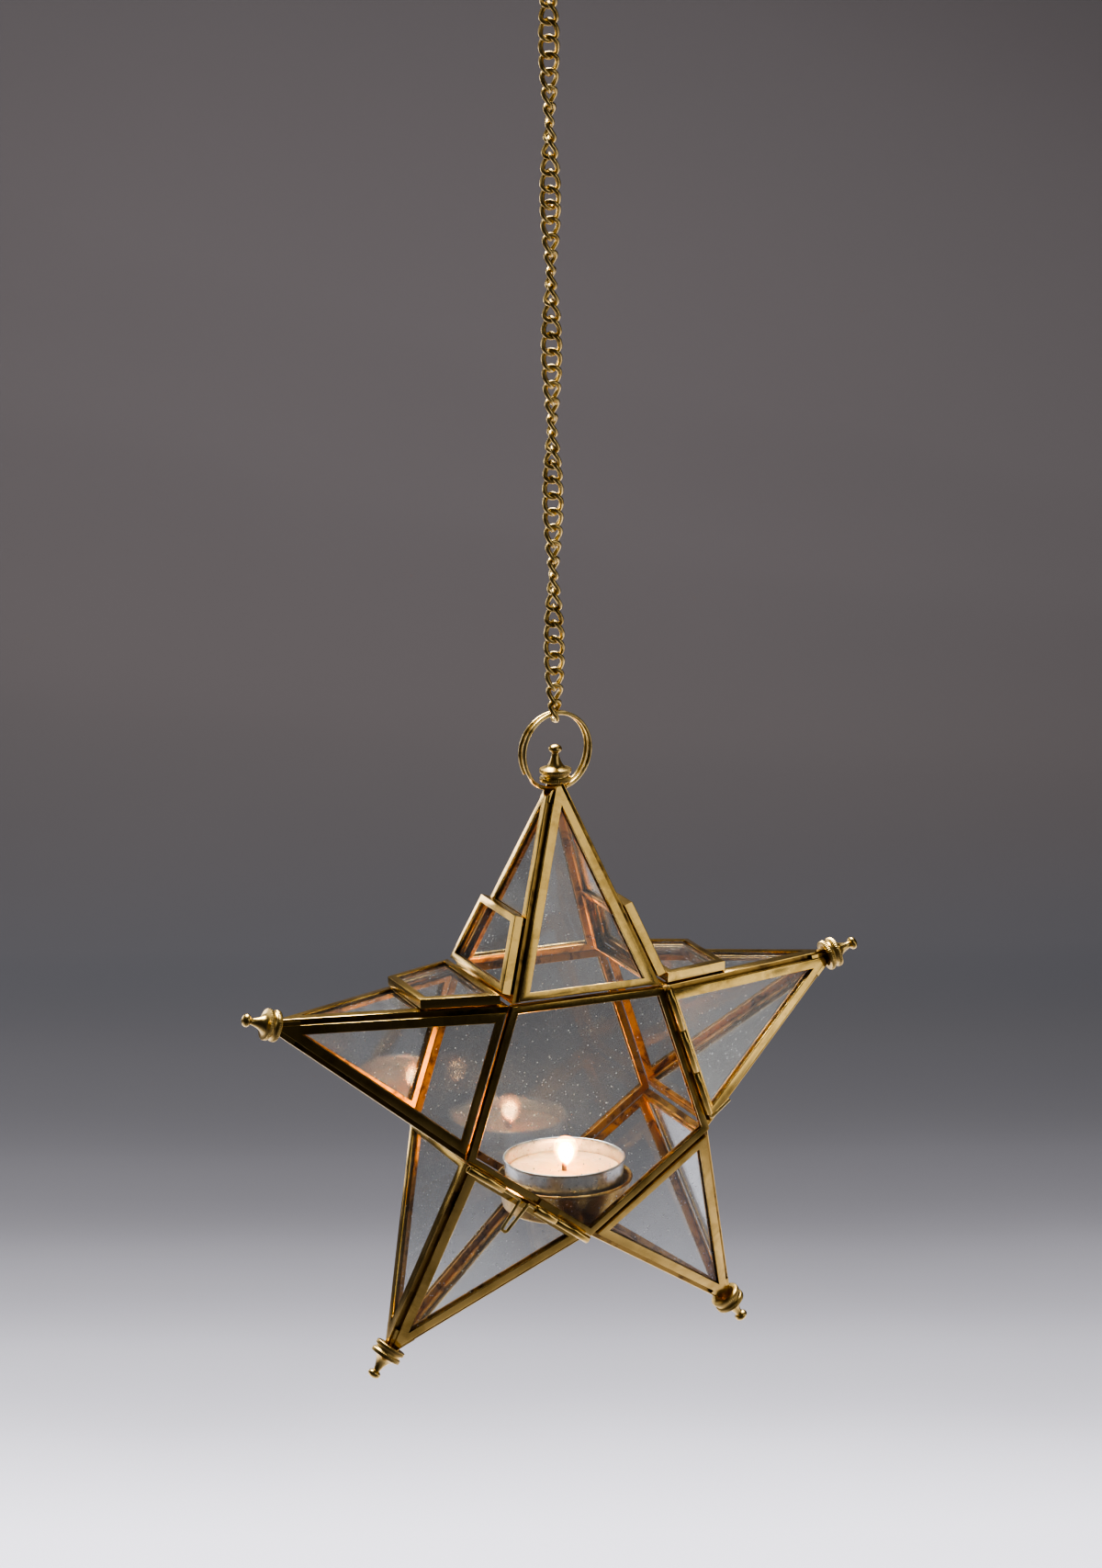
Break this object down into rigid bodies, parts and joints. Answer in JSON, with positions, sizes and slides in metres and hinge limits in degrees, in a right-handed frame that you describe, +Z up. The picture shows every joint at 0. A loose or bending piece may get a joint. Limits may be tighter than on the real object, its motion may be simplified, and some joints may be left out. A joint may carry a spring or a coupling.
{
  "type": "hanging star lantern",
  "caption": "Star-shaped hanging candle lantern of brass came and glass, with a hinged door, wire latch, raised vent lids, finials, tealight cup, split ring and chain.",
  "frame": {"origin": "inside the crook of the top hook, where the support bears", "axes": "+Z up, +X to the right seen from the front, -Y towards the viewer, out of the door"},
  "size_m": [0.2052, 0.0526, 0.4592],
  "materials": {
    "brass_came": "polished, aged, soldered came strip",
    "brass_turned": "bright turned brass",
    "brass_wire": "bright drawn wire",
    "glass": "clear, slightly grey, with small seeds",
    "foil": "pressed foil",
    "wax": "candle wax",
    "wick": "charred cotton"
  },
  "bodies": {
    "hook": {"s_hook": "brass_wire"},
    "chain_upper_length": {"chain_upper": "brass_wire"},
    "chain_middle_length": {"chain_middle": "brass_wire"},
    "chain_lower_length": {"chain_lower": "brass_wire"},
    "ring": {"split_ring": "brass_wire"},
    "lantern": {"back_frame": "brass_came", "back_pane": "glass", "candle_cup": "brass_came", "hinge_pin": "brass_wire", "hinge_tube_lower": "brass_came", "hinge_tube_upper": "brass_came", "latch_end_tube": "brass_came", "latch_guide_tube": "brass_came", "left_arm_back_pane": "glass", "left_arm_frame": "brass_came", "left_arm_front_pane": "glass", "left_arm_pane_by_lower_left": "glass", "left_arm_pane_by_top": "glass", "left_arm_vent_by_top_frame": "brass_came", "left_arm_vent_by_top_pane": "glass", "left_finial": "brass_turned", "lower_left_arm_back_pane": "glass", "lower_left_arm_frame": "brass_came", "lower_left_arm_front_pane": "glass", "lower_left_arm_pane_by_left": "glass", "lower_left_arm_pane_by_lower_right": "glass", "lower_left_finial": "brass_turned", "lower_right_arm_back_pane": "glass", "lower_right_arm_frame": "brass_came", "lower_right_arm_front_pane": "glass", "lower_right_arm_pane_by_lower_left": "glass", "lower_right_arm_pane_by_right": "glass", "lower_right_finial": "brass_turned", "right_arm_back_pane": "glass", "right_arm_frame": "brass_came", "right_arm_front_pane": "glass", "right_arm_pane_by_lower_right": "glass", "right_arm_pane_by_top": "glass", "right_arm_vent_by_top_frame": "brass_came", "right_arm_vent_by_top_pane": "glass", "right_finial": "brass_turned", "top_arm_back_pane": "glass", "top_arm_frame": "brass_came", "top_arm_front_pane": "glass", "top_arm_pane_by_left": "glass", "top_arm_pane_by_right": "glass", "top_arm_vent_by_left_frame": "brass_came", "top_arm_vent_by_left_pane": "glass", "top_arm_vent_by_right_frame": "brass_came", "top_arm_vent_by_right_pane": "glass", "top_finial": "brass_turned"},
    "door": {"door_frame": "brass_came", "door_pane": "glass", "hinge_tube_door": "brass_came", "latch_knuckle": "brass_came"},
    "latch_bolt_wire": {"latch_bolt": "brass_wire"},
    "tealight": {"tealight_cup": "foil", "wax": "wax", "wick": "wick"}
  },
  "joints": [
    {"name": "chain_upper_swing", "type": "hinge", "parent": "hook", "child": "chain_upper_length", "pos_m": [0, 0, -0.021], "axis": [0, 1, 0], "range_deg": [-45, 45]},
    {"name": "chain_middle_swing", "type": "hinge", "parent": "chain_upper_length", "child": "chain_middle_length", "pos_m": [0, 0, -0.0976], "axis": [0.9664, -0.257, 0], "range_deg": [-35, 35]},
    {"name": "chain_lower_swing", "type": "hinge", "parent": "chain_middle_length", "child": "chain_lower_length", "pos_m": [0, 0, -0.17535], "axis": [0.4209, -0.9071, 0], "range_deg": [-35, 35]},
    {"name": "ring_swing", "type": "hinge", "parent": "chain_lower_length", "child": "ring", "pos_m": [0, 0, -0.2518], "axis": [0.9848, 0.1736, 0], "range_deg": [-40, 40]},
    {"name": "lantern_swing", "type": "hinge", "parent": "ring", "child": "lantern", "pos_m": [0, 0, -0.27555], "axis": [0.9848, 0.1736, 0], "range_deg": [-30, 30]},
    {"name": "door_hinge", "type": "hinge", "parent": "lantern", "child": "door", "pos_m": [0.0336, -0.02591, -0.35856], "axis": [-0.309, 0, 0.9511], "range_deg": [0, 150]},
    {"name": "latch_slide", "type": "slide", "parent": "lantern", "child": "latch_bolt_wire", "axis": [-0.809, 0, 0.5878], "range_m": [0, 0.006]},
    {"name": "tealight_lift", "type": "slide", "parent": "lantern", "child": "tealight", "axis": [0, 0, 1], "range_m": [0, 0.02]}
  ]
}
